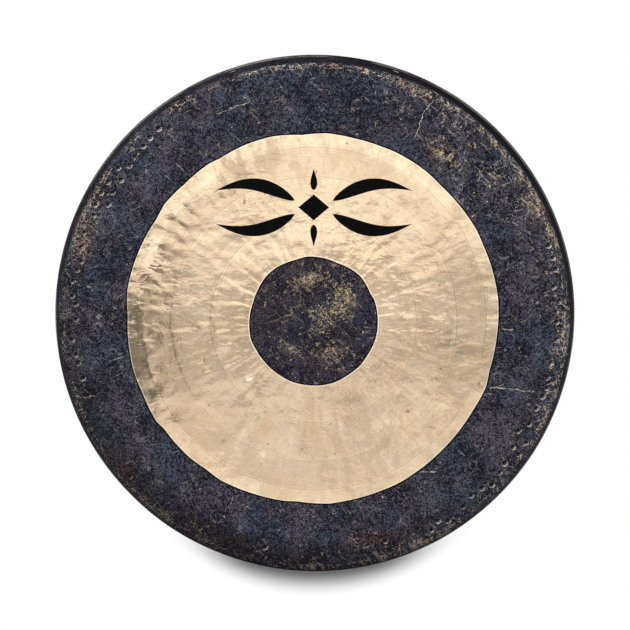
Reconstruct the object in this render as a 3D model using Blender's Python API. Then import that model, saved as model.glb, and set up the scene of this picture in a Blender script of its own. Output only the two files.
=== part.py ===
"""A tam-tam: a large flat gong hammered from one round sheet of bronze.

The gong stands upright, as it hangs. Its axis is Y, its struck face looks
towards -Y, and +Z is up. All lengths are in metres.

The metal is one sheet. Its face is slightly crowned, and its border is turned
back into a flared rim. Black forging scale is left on the middle and on the
outer band, on both sides, and the bronze between them is scraped bare. A plain
ornament is printed in black ink on the bare ring.

Every surface is worked out from one line, the front surface of the sheet seen
in section. A station on that line has a distance from the axis, a height
forward of the back edge, and the direction that the surface faces.
"""

import math
from collections import namedtuple

import bmesh
import bpy
from mathutils import Matrix, Vector

# The bronze sheet.
GONG_DIAMETER = 0.864       # across the back edge of the rim
RIM_DEPTH = 0.060           # from the back edge to the flat of the face
SHEET_THICKNESS = 0.0023
FOLD_RADIUS = 0.009         # outside of the bend between face and rim
RIM_FLARE = math.radians(15.0)  # between the rim and the axis
CROWN_HEIGHT = 0.012        # rise of the face at its middle
ROLL_HEIGHT = 0.0025        # low swell of the outer band

# The scraped ring of bare bronze, front and back.
RING_OUTER_RADIUS = 0.304
RING_INNER_RADIUS = 0.105

# The scale left on the metal. The gap keeps neighbouring solids apart.
SCALE_THICKNESS = 0.0004
SKIN_GAP = 0.0003
SCALE_EDGE_MARGIN = 0.002   # bare metal between the scale and the back edge

# The two holes in the rim that the gong hangs by.
HOLE_RADIUS = 0.006
HOLE_SPACING = 0.266        # between the two centres
HOLE_TO_EDGE = 0.026        # from a hole's centre to the back edge
HOLE_CUTTER_LENGTH = 0.04
SCALE_HOLE_CLEARANCE = 0.0006

# The printed ornament: a lozenge, four blades beside it and a spike above and below.
INK_THICKNESS = 0.0003
ORNAMENT_SHARE = 0.395      # of the way across the ring, from inside, of its centre
ORNAMENT_INNER_MARGIN = 0.016   # bare bronze between a spike's tip and the middle scale
ORNAMENT_OUTER_MARGIN = 0.040   # bare bronze between a blade's tip and the outer scale
LOZENGE_LENGTH = 0.050
LOZENGE_HALF_HEIGHT = 0.021
BLADE_HALF_WIDTH = 0.0105
BLADE_RISE = 0.016          # of a blade's outer tip over its root
BLADE_BOW = 0.018           # of its middle out of the straight line
BLADE_GAP = 0.006           # between the lozenge and a blade's root
BLADE_ROOT_SPREAD = 0.011   # of a blade's root above or below the centre line
SPIKE_HALF_WIDTH = 0.0055
SPIKE_GAP = 0.007           # between the lozenge and a spike's root
TIP_HALF_WIDTH = 0.0004     # a stroke's blunt end

# How finely the round shapes are divided.
AROUND = 72
FACE_STATIONS = 8
BAND_STATIONS = 5
FOLD_STATIONS = 4
STROKE_STATIONS = 16
CUTTER_SIDES = 24

Station = namedtuple("Station", "radius height out forward")
Section = namedtuple("Section", "face band fold rim")

BRONZE = ("bronze", (0.80, 0.58, 0.36), 0.28, 1.0)
SCALE = ("black_scale", (0.030, 0.028, 0.040), 0.55, 0.0)
INK = ("black_ink", (0.004, 0.004, 0.004), 0.40, 0.0)


def overall_depth():
    """The gong's whole length along its axis, with the scale on its middle."""
    return RIM_DEPTH + CROWN_HEIGHT + SKIN_GAP + SCALE_THICKNESS


def fold_start_radius():
    """Where the face ends and the bend into the rim begins."""
    bend_end_height = RIM_DEPTH - FOLD_RADIUS * (1 - math.sin(RIM_FLARE))
    bend_width = FOLD_RADIUS * math.cos(RIM_FLARE)
    return GONG_DIAMETER / 2 - bend_end_height * math.tan(RIM_FLARE) - bend_width


def face_height(radius):
    """How far the front of the face stands forward of the back edge."""
    if radius < RING_OUTER_RADIUS:
        return RIM_DEPTH + CROWN_HEIGHT * (1 - (radius / RING_OUTER_RADIUS) ** 2)
    width = fold_start_radius() - RING_OUTER_RADIUS
    share = min((radius - RING_OUTER_RADIUS) / width, 1.0)
    ring_edge_slope = -2 * CROWN_HEIGHT / RING_OUTER_RADIUS
    valley = ring_edge_slope * width * share * (1 - share) ** 4
    return RIM_DEPTH + ROLL_HEIGHT * math.sin(math.pi * share) ** 2 + valley


def face_station(radius):
    """The station on the face at this distance from the axis."""
    step = 1e-5
    slope = (face_height(radius + step) - face_height(abs(radius - step))) / (2 * step)
    if radius == 0:
        slope = 0.0
    length = math.hypot(1, slope)
    return Station(radius, face_height(radius), -slope / length, 1 / length)


def spaced(first, last, count):
    """This many numbers, evenly spaced, with both ends."""
    return [first + (last - first) * i / (count - 1) for i in range(count)]


def front_section():
    """The front line of the sheet, from the axis to the back edge, in four runs."""
    face = [face_station(r) for r in spaced(0, RING_OUTER_RADIUS, FACE_STATIONS)]
    start = fold_start_radius()
    band = [face_station(r) for r in spaced(RING_OUTER_RADIUS, start, BAND_STATIONS)]
    fold = []
    for turn in spaced(math.pi / 2, RIM_FLARE, FOLD_STATIONS):
        out, forward = math.cos(turn), math.sin(turn)
        centre_height = RIM_DEPTH - FOLD_RADIUS
        fold.append(
            Station(
                start + FOLD_RADIUS * out,
                centre_height + FOLD_RADIUS * forward,
                out,
                forward,
            )
        )
    edge = Station(GONG_DIAMETER / 2, 0.0, fold[-1].out, fold[-1].forward)
    return Section(face, band, fold, [fold[-1], edge])


def shifted(station, offset):
    """(radius, height) of the point this far outside the sheet's front surface."""
    return (
        max(0.0, station.radius + offset * station.out),
        station.height + offset * station.forward,
    )


def down_the_rim(station, height, offset):
    """The point beside the rim, this far outside its front, at this height."""
    radius, at = shifted(station, offset)
    return radius + (at - height) * math.tan(RIM_FLARE), height


def in_place(radius, height, angle=0.0):
    """The place in the gong's frame of a point in section, turned about the axis."""
    return Vector(
        (
            radius * math.sin(angle),
            overall_depth() / 2 - height,
            radius * math.cos(angle),
        )
    )


def painted(finish):
    """The material of this finish, made once."""
    name, colour, roughness, metallic = finish
    material = bpy.data.materials.get(name)
    if material is None:
        material = bpy.data.materials.new(name)
        material.use_nodes = True
        shader = material.node_tree.nodes["Principled BSDF"]
        shader.inputs["Base Color"].default_value = (*colour, 1.0)
        shader.inputs["Roughness"].default_value = roughness
        shader.inputs["Metallic"].default_value = metallic
    return material


def object_from(name, work, finish):
    """A named object with the shape in work, closed, facing out and shaded smooth."""
    bmesh.ops.recalc_face_normals(work, faces=work.faces)
    if work.calc_volume(signed=True) < 0:
        bmesh.ops.reverse_faces(work, faces=work.faces)
    mesh = bpy.data.meshes.new(name)
    work.to_mesh(mesh)
    work.free()
    mesh.materials.append(painted(finish))
    mesh.shade_smooth()
    mesh.set_sharp_from_angle(angle=math.radians(35))
    thing = bpy.data.objects.new(name, mesh)
    bpy.context.scene.collection.objects.link(thing)
    return thing


def turned(name, outline, finish, closed_on_axis):
    """A solid turned about the gong's axis from its outline in section.

    outline is a list of (radius, height). It starts and ends on the axis if
    closed_on_axis is set, and is a closed loop clear of the axis if not.
    """
    work = bmesh.new()
    corners = [work.verts.new(in_place(*point)) for point in outline]
    pairs = list(zip(corners, corners[1:]))
    if not closed_on_axis:
        pairs.append((corners[-1], corners[0]))
    edges = [work.edges.new(pair) for pair in pairs]
    bmesh.ops.spin(
        work,
        geom=corners + edges,
        cent=(0, 0, 0),
        axis=(0, 1, 0),
        angle=2 * math.pi,
        steps=AROUND,
        use_merge=True,
    )
    bmesh.ops.remove_doubles(work, verts=work.verts, dist=1e-6)
    return object_from(name, work, finish)


def hole_angle():
    """How far round from the top each hanging hole is."""
    radius = hole_station_point(0.0)[0]
    return math.asin(HOLE_SPACING / 2 / radius)


def hole_station_point(offset):
    """(radius, height) of a hole's centre, this far outside the rim's front."""
    edge = front_section().rim[-1]
    along = HOLE_TO_EDGE * math.cos(RIM_FLARE)
    radius, height = down_the_rim(edge, along, 0.0)
    return radius + offset * edge.out, height + offset * edge.forward


def hole_cutter(side, radius):
    """A guide cylinder square to the rim at one hanging hole. It cuts, and isn't part of the gong."""
    work = bmesh.new()
    bmesh.ops.create_cone(
        work,
        cap_ends=True,
        segments=CUTTER_SIDES,
        radius1=radius,
        radius2=radius,
        depth=HOLE_CUTTER_LENGTH,
    )
    angle = side * hole_angle()
    centre = in_place(*hole_station_point(0.0), angle)
    outside = in_place(*hole_station_point(1.0), angle)
    turn = (outside - centre).to_track_quat("Z", "Y").to_matrix().to_4x4()
    bmesh.ops.transform(work, matrix=Matrix.Translation(centre) @ turn, verts=work.verts)
    cutter = object_from(f"hole_cutter_{side:+d}_{radius * 1e4:.0f}", work, INK)
    cutter.hide_render = True
    cutter.display_type = "WIRE"
    return cutter


def drill(thing, radius):
    """Cuts both hanging holes through the rim of this piece."""
    for side in (-1, 1):
        cut = thing.modifiers.new(f"hanging_hole_{side:+d}", "BOOLEAN")
        cut.operation = "DIFFERENCE"
        cut.solver = "EXACT"
        cut.object = hole_cutter(side, radius)


def make_sheet():
    """The bronze itself: crowned face, fold and flared rim in one piece."""
    section = front_section()
    line = section.face + section.band[1:] + section.fold[1:]
    front = [shifted(station, 0.0) for station in line]
    back = [shifted(station, -SHEET_THICKNESS) for station in line]
    front.append(down_the_rim(section.rim[-1], 0.0, 0.0))
    back.append(down_the_rim(section.rim[-1], 0.0, -SHEET_THICKNESS))
    sheet = turned("bronze_sheet", front + back[::-1], BRONZE, closed_on_axis=True)
    drill(sheet, HOLE_RADIUS)
    return sheet


def scale_layer(side):
    """(near, far) offsets of the scale from the sheet's front: side 1 in front, -1 behind."""
    surface = 0.0 if side > 0 else -SHEET_THICKNESS
    return (
        surface + side * SKIN_GAP,
        surface + side * (SKIN_GAP + SCALE_THICKNESS),
    )


def make_middle_scale(name, side):
    """The round patch of scale on the middle of the face or of the back."""
    near, far = scale_layer(side)
    radii = spaced(0, RING_INNER_RADIUS, FACE_STATIONS // 2)
    line = [face_station(r) for r in radii]
    outline = [shifted(s, far) for s in line] + [shifted(s, near) for s in line[::-1]]
    return turned(name, outline, SCALE, closed_on_axis=True)


def make_border_scale(name, side):
    """The scale on the outer band, round the fold and down the rim."""
    near, far = scale_layer(side)
    section = front_section()
    line = section.band + section.fold[1:]
    edge = section.rim[-1]
    outline = [shifted(station, far) for station in line]
    outline.append(down_the_rim(edge, SCALE_EDGE_MARGIN, far))
    outline.append(down_the_rim(edge, SCALE_EDGE_MARGIN, near))
    outline += [shifted(station, near) for station in line[::-1]]
    layer = turned(name, outline, SCALE, closed_on_axis=False)
    drill(layer, HOLE_RADIUS + SCALE_HOLE_CLEARANCE)
    return layer


def on_face(across, up, offset):
    """The place over the front of the face at this place across and up."""
    radius = math.hypot(across, up)
    return in_place(*shifted(face_station(radius), offset), math.atan2(across, up))


def make_stroke(name, spine, half_width):
    """One patch of ink that follows the face.

    spine(t) is the (across, up) of the stroke's middle and half_width(t) half
    its width there, with t from 0 at the root to 1 at the tip.
    """
    work = bmesh.new()
    near, far = SKIN_GAP, SKIN_GAP + INK_THICKNESS
    rings = []
    for t in spaced(0.0, 1.0, STROKE_STATIONS):
        here, ahead, behind = spine(t), spine(t + 0.01), spine(t - 0.01)
        along = math.atan2(ahead[1] - behind[1], ahead[0] - behind[0])
        half = max(half_width(t), TIP_HALF_WIDTH)
        side = (-math.sin(along) * half, math.cos(along) * half)
        corners = ((1, far), (-1, far), (-1, near), (1, near))
        rings.append(
            [
                work.verts.new(on_face(here[0] + s * side[0], here[1] + s * side[1], o))
                for s, o in corners
            ]
        )
    for ring, following in zip(rings, rings[1:]):
        for i in range(4):
            j = (i + 1) % 4
            work.faces.new((ring[i], ring[j], following[j], following[i]))
    work.faces.new(rings[0][::-1])
    work.faces.new(rings[-1])
    return object_from(name, work, INK)


def ornament_height():
    """How far above the axis the ornament's centre is."""
    return RING_INNER_RADIUS + ORNAMENT_SHARE * (RING_OUTER_RADIUS - RING_INNER_RADIUS)


def make_lozenge():
    """The lozenge at the middle of the ornament."""

    def spine(t):
        return LOZENGE_LENGTH * (t - 0.5), ornament_height()

    def half_width(t):
        return LOZENGE_HALF_HEIGHT * (1 - abs(2 * t - 1))

    return make_stroke("printed_lozenge", spine, half_width)


def make_blade(name, across, up):
    """A tapering blade beside the lozenge: across is -1 left or 1 right, up is -1 low or 1 high."""
    root = LOZENGE_LENGTH / 2 + BLADE_GAP
    highest_tip = ornament_height() + BLADE_ROOT_SPREAD + BLADE_RISE
    tip = math.sqrt((RING_OUTER_RADIUS - ORNAMENT_OUTER_MARGIN) ** 2 - highest_tip**2)

    def spine(t):
        rise = BLADE_ROOT_SPREAD + BLADE_RISE * t + BLADE_BOW * math.sin(math.pi * t)
        return across * (root + (tip - root) * t), ornament_height() + up * rise

    def half_width(t):
        return BLADE_HALF_WIDTH * math.sin(math.pi * min(max(t, 0.0), 1.0) ** 0.7)

    return make_stroke(name, spine, half_width)


def make_spike(name, up):
    """A spike over the lozenge, with up 1, or under it, with up -1."""
    root = LOZENGE_HALF_HEIGHT + SPIKE_GAP
    tip = ornament_height() - RING_INNER_RADIUS - ORNAMENT_INNER_MARGIN

    def spine(t):
        return 0.0, ornament_height() + up * (root + (tip - root) * t)

    def half_width(t):
        return SPIKE_HALF_WIDTH * math.sin(math.pi * min(max(t, 0.0), 1.0) ** 0.6)

    return make_stroke(name, spine, half_width)


def clear_scene():
    """Removes whatever the scene starts with."""
    for thing in list(bpy.data.objects):
        bpy.data.objects.remove(thing)


def main():
    clear_scene()
    make_sheet()
    make_border_scale("front_border_scale", 1)
    make_middle_scale("front_middle_scale", 1)
    make_border_scale("back_border_scale", -1)
    make_middle_scale("back_middle_scale", -1)
    make_lozenge()
    for side, across in (("left", -1), ("right", 1)):
        for place, up in (("upper", 1), ("lower", -1)):
            make_blade(f"printed_blade_{place}_{side}", across, up)
    for place, up in (("upper", 1), ("lower", -1)):
        make_spike(f"printed_spike_{place}", up)


main()
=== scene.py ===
"""A tam-tam gong of hammered bronze: the meshes and the finishes that dress its frame.

The gong hangs upright with its axis along Y and its struck face towards -Y. Places on it
are given as a reach and an angle. The reach is the way over the front surface from the
axis, out across the face, round the fold and back along the rim. The angle is seen from
the front and runs anticlockwise from +X. A lift is a distance out of the front surface.
All lengths are in metres and angles in degrees, unless a name says otherwise.
"""

import logging
import math
from collections.abc import Callable, Iterator
from contextlib import contextmanager
from dataclasses import dataclass
from enum import Enum

import bpy
import numpy as np
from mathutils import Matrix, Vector

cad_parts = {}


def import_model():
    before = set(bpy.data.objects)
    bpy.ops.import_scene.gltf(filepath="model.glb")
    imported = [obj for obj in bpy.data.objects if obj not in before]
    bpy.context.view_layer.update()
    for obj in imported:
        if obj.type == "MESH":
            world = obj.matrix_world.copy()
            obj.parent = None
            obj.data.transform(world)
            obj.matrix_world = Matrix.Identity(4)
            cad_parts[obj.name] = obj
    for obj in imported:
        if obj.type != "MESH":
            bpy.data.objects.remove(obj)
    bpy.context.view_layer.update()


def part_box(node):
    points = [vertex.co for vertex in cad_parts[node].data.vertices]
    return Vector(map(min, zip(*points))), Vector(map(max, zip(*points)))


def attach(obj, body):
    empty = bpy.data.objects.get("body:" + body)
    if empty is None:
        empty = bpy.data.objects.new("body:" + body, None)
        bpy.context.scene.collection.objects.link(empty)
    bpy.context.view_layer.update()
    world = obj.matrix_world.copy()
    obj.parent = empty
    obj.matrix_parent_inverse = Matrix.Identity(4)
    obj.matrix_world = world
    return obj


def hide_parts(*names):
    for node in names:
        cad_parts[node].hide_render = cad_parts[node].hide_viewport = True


LOG = logging.getLogger("gong")
BODY = "root"
MERGE_DISTANCE = 1e-5
TURNING_STEPS = (0.168, 0.233, 0.281)
SMOOTH_ANGLE = math.radians(38)
FLOOR_DROP = 0.004
RIM_HIGHLIGHT_INSET = 0.012
NO_SHINE = 0.05
Pair = tuple[float, float]
Triple = tuple[float, float, float]
Points = list[Pair]
Rows = tuple[tuple[float, ...], ...]
Line2D = Callable[[np.ndarray], tuple[np.ndarray, np.ndarray]]


class Mark(Enum):
    """The attributes that tell a finish where on the gong it is."""

    REACH = "reach"
    LIFT = "lift"
    EDGE_GAP = "edge_gap"
    WEAR = "wear"
    STAIN = "stain"
    HAZE = "haze"
    PUNCH = "punch"
    PUNCH_ACROSS = "punch_across"
    PUNCH_UP = "punch_up"
    # The pale mark places painted highlights on the bare ring; the dark mark places painted shade on the
    # rim.
    PAINTED_HIGHLIGHT = "pale"
    DARK = "dark"
    FACET = "facet"


class Noise:
    """Smooth seeded noise over a plane, which moves vertices."""

    CELLS = 128

    def __init__(self, seed: int) -> None:
        """Draws the noise's lattice.

        Args:
            seed: Picks the pattern.
        """
        self.lattice = np.random.default_rng(seed).uniform(-1, 1, (self.CELLS, self.CELLS))

    def at(self, across: np.ndarray, up: np.ndarray, size: float) -> np.ndarray:
        """Reads the noise.

        Args:
            across: Places along the plane's first axis.
            up: Places along its second axis.
            size: The width of one bump.

        Returns:
            Values from -1 to 1.
        """
        columns, rows = across / size, up / size
        left, low = np.floor(columns).astype(int), np.floor(rows).astype(int)
        x, y = columns - left, rows - low
        x, y = (t * t * t * (t * (t * 6 - 15) + 10) for t in (x, y))
        wrapped = [(left + i) % self.CELLS for i in (0, 1)]
        lifted = [(low + i) % self.CELLS for i in (0, 1)]
        bottom = self.lattice[wrapped[0], lifted[0]] * (1 - x) + self.lattice[wrapped[1], lifted[0]] * x
        top = self.lattice[wrapped[0], lifted[1]] * (1 - x) + self.lattice[wrapped[1], lifted[1]] * x
        return bottom * (1 - y) + top * y


def layered(across: np.ndarray, up: np.ndarray, *rows: tuple[float, ...]) -> np.ndarray:
    """Layers of noise, each given by its seed, its height and the width of one bump."""
    return sum(height * Noise(seed).at(across, up, width) for seed, height, width in rows)


def ease(value: np.ndarray, low: float, high: float) -> np.ndarray:
    """Goes smoothly from 0 where value is low to 1 where it is high."""
    share = np.clip((value - low) / (high - low), 0, 1)
    return share * share * (3 - 2 * share)


def hump(value: np.ndarray, centre: float, width: float) -> np.ndarray:
    """A rounded hump of height 1 around centre."""
    return np.exp(-(((value - centre) / width) ** 2))


def turn_between(angle: np.ndarray, other: float) -> np.ndarray:
    """The signed turn in degrees from one angle to another, from -180 to 180."""
    return (angle - other + 180) % 360 - 180


def over_face(reach: np.ndarray, angle: np.ndarray) -> tuple[np.ndarray, np.ndarray]:
    """How far across and up each place is, if the surface were laid flat."""
    turn = np.radians(angle)
    return reach * np.cos(turn), reach * np.sin(turn)


def angles_of(places: np.ndarray) -> np.ndarray:
    """The angle of each place in space, in degrees."""
    return np.degrees(np.arctan2(places[:, 2], places[:, 0]))


@dataclass(frozen=True)
class ScrapedEdge:
    """The hand-scraped edge between the bare ring and the scale.

    It is nearly a circle: a little off the axis, and made of short straight cuts.
    """

    radius: float
    off_centre: float
    off_angle: float
    cuts: int
    waver: float
    seed: int

    def reach(self, angle: np.ndarray) -> np.ndarray:
        """How far from the axis the edge is at each angle, in degrees."""
        draw = np.random.default_rng(self.seed)
        corners = np.sort((np.arange(self.cuts) + draw.uniform(-0.38, 0.38, self.cuts)) * 360 / self.cuts)
        offsets = draw.normal(0, self.waver, self.cuts)
        waver = np.interp(angle % 360, corners, offsets, period=360)
        shift = self.off_centre * np.cos(np.radians(angle - self.off_angle))
        return self.radius + shift + waver


@dataclass(frozen=True)
class Dent:
    """One dent in the bare ring, longer one way than the other."""

    angle: float
    reach: float
    length: float
    width: float
    turn: float
    depth: float

    def depth_at(self, across: np.ndarray, up: np.ndarray) -> np.ndarray:
        """How deep the dent is at each place over the face."""
        middle = over_face(self.reach, self.angle)
        x, z = across - middle[0], up - middle[1]
        cos, sin = over_face(1.0, self.turn)
        along, aside = x * cos + z * sin, z * cos - x * sin
        return self.depth * np.exp(-((along / self.length) ** 2) - (aside / self.width) ** 2)


@dataclass(frozen=True)
class PunchRun:
    """A run of round punch marks along the border, in a loose row."""

    first_angle: float
    last_angle: float
    count: int
    inset: float
    scatter: float
    seed: int
    smallest: float = 0.0046
    largest: float = 0.0060

    def places(self, fold_reach: float) -> list[Triple]:
        """Where the marks are.

        Args:
            fold_reach: The reach of the fold, which the marks keep inside of.

        Returns:
            The angle, the reach and the radius of each mark.
        """
        draw = np.random.default_rng(self.seed)
        step = (self.last_angle - self.first_angle) / self.count
        marks = []
        for i in range(self.count):
            angle = self.first_angle + step * (i + draw.uniform(0.1, 0.9))
            reach = fold_reach - self.inset - draw.uniform(-1, 1) * self.scatter
            marks.append((angle, reach, draw.uniform(self.smallest, self.largest)))
        return marks


@dataclass(frozen=True)
class Patch:
    """A soft-edged patch where the finish changes."""

    angle: float
    reach: float
    spread_angle: float
    spread_reach: float
    strength: float

    def share(self, reach: np.ndarray, angle: np.ndarray) -> np.ndarray:
        """How strong the patch is at each place."""
        around = turn_between(angle, self.angle) / self.spread_angle
        out = (reach - self.reach) / self.spread_reach
        return self.strength * np.exp(-(around**2) - out**2)


def patchwork(reach: np.ndarray, angle: np.ndarray, *rows: tuple[float, ...]) -> np.ndarray:
    """The summed strength of several patches, each given as a row of a Patch's fields."""
    return sum(Patch(*row).share(reach, angle) for row in rows)


@dataclass(frozen=True)
class Sheet:
    """The shape of the hammered sheet, which every piece follows."""

    back: float
    rim_radius: float
    rim_depth: float = 0.060
    thickness: float = 0.0023
    fold_radius: float = 0.009
    flare: float = math.radians(15)
    crown: float = 0.012
    roll: float = 0.0025
    ring_outer: float = 0.304
    ring_inner: float = 0.105
    hole_radius: float = 0.006
    hole_spacing: float = 0.266
    hole_to_edge: float = 0.026
    outer_edge: ScrapedEdge = ScrapedEdge(0.3040, 0.0033, 184, 46, 0.0012, 3)
    inner_edge: ScrapedEdge = ScrapedEdge(0.1050, 0.0018, 250, 26, 0.0009, 8)
    shoulder: float = TURNING_STEPS[-1]
    hammering: Rows = ((11, 0.0008, 0.15), (12, 0.0003, 0.062))
    face_hammering: Rows = ((31, 0.00030, 0.030), (32, 0.00014, 0.013), (38, 0.00004, 0.006))
    scale_bumps: Rows = ((36, 0.00022, 0.040), (37, 0.00010, 0.016))
    turning_steps: tuple[float, ...] = TURNING_STEPS
    dents: tuple[Dent, ...] = (
        Dent(222, 0.139, 0.0085, 0.0036, 30, 0.0007),
        Dent(241, 0.211, 0.0100, 0.0040, 80, 0.0006),
        Dent(205, 0.190, 0.0070, 0.0040, 35, 0.0004),
        Dent(300, 0.215, 0.0080, 0.0050, 110, 0.0004),
        Dent(318, 0.185, 0.0090, 0.0045, 60, 0.0004),
        Dent(128, 0.245, 0.0090, 0.0060, 70, 0.0005),
        Dent(118, 0.262, 0.0070, 0.0050, 20, 0.0005),
        Dent(150, 0.250, 0.0080, 0.0050, 150, 0.0005),
    )
    punch_gap: float = 2.7
    punches: tuple[PunchRun, ...] = (
        PunchRun(126, 155, 24, 0.022, 0.011, 21),
        PunchRun(158, 178, 7, 0.018, 0.007, 22),
        PunchRun(178, 196, 6, 0.022, 0.010, 23),
        PunchRun(-6, 20, 7, 0.018, 0.006, 24),
        PunchRun(-34, -6, 10, 0.018, 0.007, 25),
        PunchRun(-62, -34, 13, 0.019, 0.007, 26),
        PunchRun(-50, -14, 8, 0.027, 0.006, 27),
        PunchRun(196, 290, 5, 0.022, 0.010, 29),
    )

    @property
    def fold_start(self) -> float:
        """The reach at which the face ends and the fold begins."""
        bend_end = self.rim_depth - self.fold_radius * (1 - math.sin(self.flare))
        width = self.fold_radius * math.cos(self.flare)
        return self.rim_radius - bend_end * math.tan(self.flare) - width

    @property
    def fold_end(self) -> float:
        """The reach at which the fold ends and the straight rim begins."""
        return self.fold_start + self.fold_radius * (math.pi / 2 - self.flare)

    @property
    def fold_crest(self) -> float:
        """The reach of the part of the fold that rubs most."""
        return self.fold_start + 0.4 * (self.fold_end - self.fold_start)

    @property
    def rim_end(self) -> float:
        """The reach of the rim's back edge."""
        bend_end = self.rim_depth - self.fold_radius * (1 - math.sin(self.flare))
        return self.fold_end + bend_end / math.cos(self.flare)

    def section(self, reach: np.ndarray) -> tuple[np.ndarray, ...]:
        """Follows the front line of the sheet.

        Args:
            reach: Reaches along it.

        Returns:
            The distance from the axis, the height over the back edge, and the two
            parts, outward and forward, of the way that the surface faces.
        """
        inside = np.clip(reach / self.ring_outer, 0, 1)
        width = self.fold_start - self.ring_outer
        band = np.clip((reach - self.ring_outer) / width, 0, 1)
        edge_slope = -2 * self.crown / self.ring_outer
        height = self.rim_depth + self.crown * (1 - inside**2)
        height = height + self.roll * np.sin(math.pi * band) ** 2
        height = height + edge_slope * width * band * (1 - band) ** 4
        roll_slope = math.pi * self.roll / width * np.sin(2 * math.pi * band)
        valley_slope = edge_slope * (1 - band) ** 3 * (1 - 5 * band)
        slope = np.where(reach < self.ring_outer, edge_slope * inside, roll_slope + valley_slope)
        length = np.sqrt(1 + slope**2)
        out, forward = -slope / length, 1 / length
        turn = np.clip(reach - self.fold_start, 0, self.fold_end - self.fold_start) / self.fold_radius
        bent = reach > self.fold_start
        out = np.where(bent, np.sin(turn), out)
        forward = np.where(bent, np.cos(turn), forward)
        along = np.clip(reach - self.fold_end, 0, None)
        radius = np.minimum(reach, self.fold_start) + self.fold_radius * np.sin(turn)
        radius = radius + along * math.sin(self.flare)
        drop = self.fold_radius * (1 - np.cos(turn)) + along * math.cos(self.flare)
        return radius, height - drop, out, forward

    def relief(self, reach: np.ndarray, angle: np.ndarray) -> np.ndarray:
        """The hammering of the whole sheet, which shows on both its sides.

        Args:
            reach: Reaches of the places.
            angle: Their angles in degrees.

        Returns:
            How far each place is out of the true turned shape.
        """
        across, up = over_face(reach, angle)
        broad = layered(across, up, *self.hammering)
        return broad * (1 - 0.6 * ease(reach, self.fold_start, self.rim_end))

    def face_relief(self, reach: np.ndarray, angle: np.ndarray) -> np.ndarray:
        """The marks that show only on the front.

        Args:
            reach: Reaches of the places.
            angle: Their angles in degrees.

        Returns:
            How far each place is out of the hammered sheet.
        """
        across, up = over_face(reach, angle)
        bare = ease(reach, 0.085, 0.115) * (1 - ease(reach, 0.300, 0.330))
        hammered = layered(across, up, *self.face_hammering)
        level = hump(up, 0.004, 0.055) * ease(np.abs(across), 0.07, 0.14)
        rippled = 0.00030 * Noise(33).at(across * 0.7, up * 1.9, 0.021)
        rippled = rippled + 0.00006 * Noise(39).at(across, up * 2.0, 0.009)
        uneven = ease(Noise(34).at(across, up, 0.10), -0.5, 0.6)
        high_left = hump(turn_between(angle, 135), 0, 40) * ease(reach, 0.22, 0.27)
        high = ease(up, 0.08, 0.20)
        strong = 0.70 + 0.65 * uneven + 0.6 * high_left + 0.35 * high
        relief = bare * (hammered * strong + rippled * level)
        facets = Noise(40).at(np.radians(angle) * 0.25, reach * 0.30, 0.0115)
        relief = relief + bare * 0.00040 * facets * (0.30 + 1.3 * high_left)
        spokes = Noise(35).at(*over_face(2.0, angle), 0.11)
        relief = relief + 0.00012 * spokes * hump(reach, 0.125, 0.030)
        for dent in self.dents:
            relief = relief - dent.depth_at(across, up)
        for step in self.turning_steps:
            relief = relief - 0.00012 * ease(reach, step - 0.002, step + 0.002)
        border = ease(reach, 0.312, 0.335)
        relief = relief - 0.045 * np.clip(reach - self.shoulder, 0, self.ring_outer + 0.004 - self.shoulder)
        relief = relief * (1 - border)
        scale = layered(across, up, *self.scale_bumps)
        return relief + border * scale * (1 - 0.7 * ease(reach, self.fold_start, self.fold_end))

    def punch_places(self) -> list[Triple]:
        """The angle, reach and radius of each punch mark, without any that would touch."""
        kept: list[Triple] = []
        for run in self.punches:
            for angle, reach, radius in run.places(self.fold_crest):
                turns = (math.radians(angle - other[0]) * reach for other in kept)
                gaps = [math.hypot(turn, reach - other[1]) for turn, other in zip(turns, kept)]
                if min(gaps, default=1.0) > self.punch_gap * radius:
                    kept.append((angle, reach, radius))
        return kept

    def punched(self, reach: np.ndarray, angle: np.ndarray) -> tuple[np.ndarray, ...]:
        """The round punch marks.

        Args:
            reach: Reaches of the places.
            angle: Their angles in degrees.

        Returns:
            How deep the marks are at each place, how near it is to one, and how far it is
            across and up from that mark's middle, in radii.
        """
        depth, across, up = (np.zeros_like(reach) for _ in range(3))
        nearest = np.full_like(reach, 9.0)
        here = over_face(reach, angle)
        for mark_angle, mark_reach, radius in self.punch_places():
            around = np.radians(turn_between(angle, mark_angle)) * mark_reach
            gap = np.hypot(around, reach - mark_reach) / radius
            bowl = 0.00085 * np.clip(1 - gap**2, 0, None) ** 0.8
            depth += bowl - 0.00022 * np.exp(-(((gap - 1.15) / 0.22) ** 2))
            closer = gap < nearest
            nearest = np.where(closer, gap, nearest)
            middle = over_face(mark_reach, mark_angle)
            across = np.where(closer, (here[0] - middle[0]) / radius, across)
            up = np.where(closer, (here[1] - middle[1]) / radius, up)
        return depth, 1 - ease(nearest, 1.35, 1.6), across, up

    def place(self, reach: np.ndarray, lift: np.ndarray, angle: np.ndarray) -> np.ndarray:
        """Turns reaches, lifts and angles in degrees into places in space.

        Returns:
            An array with a row of x, y, z for each place.
        """
        radius, height, out, forward = self.section(reach)
        radius = radius + lift * out
        turn = np.radians(angle)
        rows = (radius * np.cos(turn), self.back - height - lift * forward, radius * np.sin(turn))
        return np.stack(rows, axis=1)


def activate(piece: bpy.types.Object) -> None:
    """Makes this the only selected object and the active one."""
    bpy.ops.object.select_all(action="DESELECT")
    piece.select_set(True)
    bpy.context.view_layer.objects.active = piece


@contextmanager
def editing(action: str = "") -> Iterator[None]:
    """Works in edit mode, after selecting with this action if one is given."""
    bpy.ops.object.mode_set(mode="EDIT")
    if action:
        bpy.ops.mesh.select_all(action=action)
    yield
    bpy.ops.object.mode_set(mode="OBJECT")


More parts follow.
